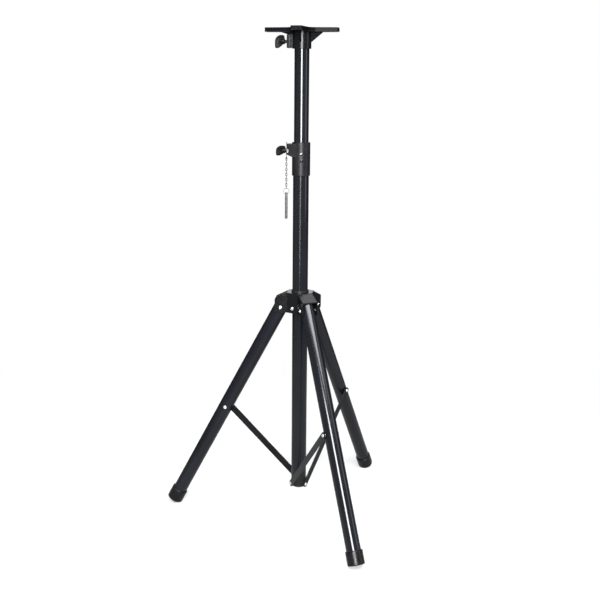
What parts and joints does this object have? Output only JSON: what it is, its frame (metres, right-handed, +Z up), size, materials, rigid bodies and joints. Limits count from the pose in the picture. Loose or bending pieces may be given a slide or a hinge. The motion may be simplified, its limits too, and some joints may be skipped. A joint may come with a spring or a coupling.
{
  "type": "speaker tripod stand",
  "caption": "Telescoping two-tube column on folding tube legs with flat braces, topped by a cross-shaped support plate that carries a loudspeaker.",
  "frame": {"origin": "on the floor, under the column axis", "axes": "+Z up along the column; +X to the right and -Y to the front of the shown view"},
  "size_m": [0.5601, 0.6061, 1.21],
  "materials": {
    "gloss_black_tube": "gloss powder coat",
    "satin_black_metal": "satin powder coat",
    "black_moulding": "fine-textured moulded plastic",
    "knob_plastic": "satin moulded plastic",
    "nylon": "plain nylon",
    "zinc_steel": "bright zinc plate",
    "chain_steel": "nickel plate",
    "foot_rubber": "moulded rubber"
  },
  "bodies": {
    "column": {"lower_tube": "gloss_black_tube", "collar": "black_moulding", "collar_nut": "zinc_steel", "collar_rivet": "satin_black_metal", "chain_tab": "satin_black_metal", "bottom_bracket": "black_moulding", "bottom_rivets": "zinc_steel"},
    "mast_guide": {"guide_bush": "nylon"},
    "mast": {"upper_tube": "gloss_black_tube", "mast_plug": "black_moulding"},
    "top_bracket": {"top_plate": "satin_black_metal", "top_socket": "satin_black_metal", "plate_gussets": "satin_black_metal"},
    "top_clamp_slide": {"top_clamp_pad": "nylon"},
    "top_clamp": {"top_knob": "knob_plastic", "top_screw": "zinc_steel"},
    "collar_clamp_slide": {"collar_clamp_pad": "nylon"},
    "collar_clamp": {"collar_knob": "knob_plastic", "collar_screw": "zinc_steel"},
    "hub": {"hub_shell": "satin_black_metal", "hub_core": "black_moulding", "web_rivets": "zinc_steel", "pivot_rivets": "zinc_steel"},
    "lock_clamp_slide": {"lock_clamp_pad": "nylon"},
    "lock_clamp": {"lock_knob": "knob_plastic", "lock_screw": "zinc_steel"},
    "chain": {"chain_links": "chain_steel"},
    "pin_ring": {"split_ring": "chain_steel"},
    "safety_pin": {"safety_pin": "chain_steel"},
    "leg_left": {"leg_tube_left": "gloss_black_tube", "leg_plug_left": "black_moulding", "foot_left": "foot_rubber", "leg_pin_left": "zinc_steel"},
    "brace_left": {"brace_left": "satin_black_metal", "brace_stud_left": "zinc_steel"},
    "leg_front": {"leg_tube_front": "gloss_black_tube", "leg_plug_front": "black_moulding", "foot_front": "foot_rubber", "leg_pin_front": "zinc_steel"},
    "brace_front": {"brace_front": "satin_black_metal", "brace_stud_front": "zinc_steel"},
    "leg_right": {"leg_tube_right": "gloss_black_tube", "leg_plug_right": "black_moulding", "foot_right": "foot_rubber", "leg_pin_right": "zinc_steel"},
    "brace_right": {"brace_right": "satin_black_metal", "brace_stud_right": "zinc_steel"}
  },
  "joints": [
    {"name": "mast_slide", "type": "slide", "parent": "column", "child": "mast_guide", "axis": [0, 0, 1], "range_m": [-0.21, 0.44]},
    {"name": "mast_turn", "type": "hinge", "parent": "mast_guide", "child": "mast", "pos_m": [0, 0, 0.9], "axis": [0, 0, 1], "continuous": true},
    {"name": "plate_turn", "type": "hinge", "parent": "mast", "child": "top_bracket", "pos_m": [0, 0, 1.18], "axis": [0, 0, 1], "continuous": true},
    {"name": "top_clamp_travel", "type": "slide", "parent": "top_bracket", "child": "top_clamp_slide", "axis": [-0.9877, 0.1564, 0], "range_m": [0, 0.00375]},
    {"name": "top_knob_turn", "type": "hinge", "parent": "top_clamp_slide", "child": "top_clamp", "pos_m": [0, 0, 1.179], "axis": [-0.9877, 0.1564, 0], "range_deg": [0, 1081]},
    {"name": "collar_clamp_travel", "type": "slide", "parent": "column", "child": "collar_clamp_slide", "axis": [-1, 0, 0], "range_m": [0, 0.00375]},
    {"name": "collar_knob_turn", "type": "hinge", "parent": "collar_clamp_slide", "child": "collar_clamp", "pos_m": [0, 0, 0.9285], "axis": [-1, 0, 0], "range_deg": [0, 1081]},
    {"name": "lock_clamp_travel", "type": "slide", "parent": "hub", "child": "lock_clamp_slide", "axis": [-0.4067, 0.9135, 0], "range_m": [0, 0.00375]},
    {"name": "lock_knob_turn", "type": "hinge", "parent": "lock_clamp_slide", "child": "lock_clamp", "pos_m": [0, 0, 0.563], "axis": [-0.4067, 0.9135, 0], "range_deg": [0, 1081]},
    {"name": "hub_slide", "type": "slide", "parent": "column", "child": "hub", "axis": [0, 0, 1], "range_m": [0, 0.10569]},
    {"name": "leg_fold_left", "type": "hinge", "parent": "hub", "child": "leg_left", "pos_m": [-0.04625, 0.00486, 0.546], "axis": [-0.1045, -0.9945, 0], "range_deg": [0, 27.92]},
    {"name": "brace_fold_left", "type": "hinge", "parent": "column", "child": "brace_left", "pos_m": [0, 0, 0.0734], "axis": [0.1045, 0.9945, 0], "range_deg": [0, 33.26]},
    {"name": "leg_fold_front", "type": "hinge", "parent": "hub", "child": "leg_front", "pos_m": [0.01891, -0.04248, 0.546], "axis": [0.9135, 0.4067, 0], "range_deg": [0, 27.92]},
    {"name": "brace_fold_front", "type": "hinge", "parent": "column", "child": "brace_front", "pos_m": [0, 0, 0.0734], "axis": [-0.9135, -0.4067, 0], "range_deg": [0, 33.26]},
    {"name": "leg_fold_right", "type": "hinge", "parent": "hub", "child": "leg_right", "pos_m": [0.02733, 0.03762, 0.546], "axis": [-0.809, 0.5878, 0], "range_deg": [0, 27.92]},
    {"name": "brace_fold_right", "type": "hinge", "parent": "column", "child": "brace_right", "pos_m": [0, 0, 0.0734], "axis": [0.809, -0.5878, 0], "range_deg": [0, 33.26]},
    {"name": "chain_swing", "type": "hinge", "parent": "column", "child": "chain", "pos_m": [-0.0351, 0, 0.9117], "axis": [1, 0, 0], "range_deg": [-60, 60]},
    {"name": "ring_swing", "type": "hinge", "parent": "chain", "child": "pin_ring", "pos_m": [-0.0351, 0, 0.8373], "axis": [0, 1, 0], "range_deg": [-6, 60]},
    {"name": "pin_swing", "type": "hinge", "parent": "pin_ring", "child": "safety_pin", "pos_m": [-0.0351, 0, 0.82475], "axis": [1, 0, 0], "range_deg": [-60, 60]}
  ],
  "couplings": [
    {"joint": "top_knob_turn", "follows": "top_clamp_travel", "rad_per_m": 5026.5},
    {"joint": "collar_knob_turn", "follows": "collar_clamp_travel", "rad_per_m": 5026.5},
    {"joint": "lock_knob_turn", "follows": "lock_clamp_travel", "rad_per_m": 5026.5},
    {"joint": "leg_fold_left", "follows": "hub_slide", "rad_per_m": 4.6072},
    {"joint": "brace_fold_left", "follows": "hub_slide", "rad_per_m": 5.4896},
    {"joint": "leg_fold_front", "follows": "hub_slide", "rad_per_m": 4.6072},
    {"joint": "brace_fold_front", "follows": "hub_slide", "rad_per_m": 5.4896},
    {"joint": "leg_fold_right", "follows": "hub_slide", "rad_per_m": 4.6072},
    {"joint": "brace_fold_right", "follows": "hub_slide", "rad_per_m": 5.4896}
  ]
}
